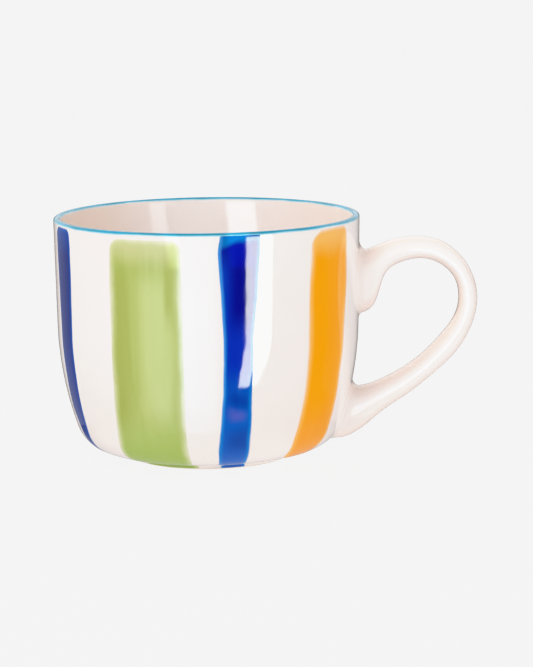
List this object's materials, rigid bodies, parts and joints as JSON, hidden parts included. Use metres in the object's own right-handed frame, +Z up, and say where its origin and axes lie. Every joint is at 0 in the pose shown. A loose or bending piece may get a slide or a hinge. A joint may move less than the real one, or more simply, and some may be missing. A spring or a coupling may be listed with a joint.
{
  "type": "ceramic mug",
  "caption": "Ceramic mug: near-straight drafted wall, rounded heel on a foot ring, looped strap handle, coloured lip line and broad vertical painted strokes.",
  "frame": {"origin": "on the cup's axis, in the plane of the foot ring's resting face", "axes": "+Z up along the cup's axis to the mouth; +X from the axis through the handle; +Y completes the frame"},
  "size_m": [0.1386, 0.1, 0.0795],
  "materials": {
    "fired_clay": "bare fired clay, matt",
    "white_glaze": "glossy warm white glaze",
    "cream_glaze": "glossy pinkish cream glaze",
    "turquoise_glaze": "glossy turquoise glaze",
    "blue_glaze": "glossy mottled cobalt blue glaze",
    "green_glaze": "glossy mottled yellow-green glaze",
    "orange_glaze": "glossy orange-yellow glaze"
  },
  "bodies": {
    "root": {"cup_body": "fired_clay", "foot_ring": "fired_clay", "handle": "fired_clay", "handle_upper_slip": "white_glaze", "handle_lower_slip": "white_glaze", "handle_glaze": "white_glaze", "outer_glaze": "white_glaze", "base_glaze": "white_glaze", "inner_glaze": "cream_glaze", "rim_band": "turquoise_glaze", "stroke_blue_left": "blue_glaze", "stroke_green_front": "green_glaze", "stroke_blue_front": "blue_glaze", "stroke_orange_right": "orange_glaze", "stroke_blue_back_right": "blue_glaze", "stroke_green_back": "green_glaze", "stroke_blue_back_left": "blue_glaze", "stroke_orange_back": "orange_glaze"}
  },
  "joints": []
}
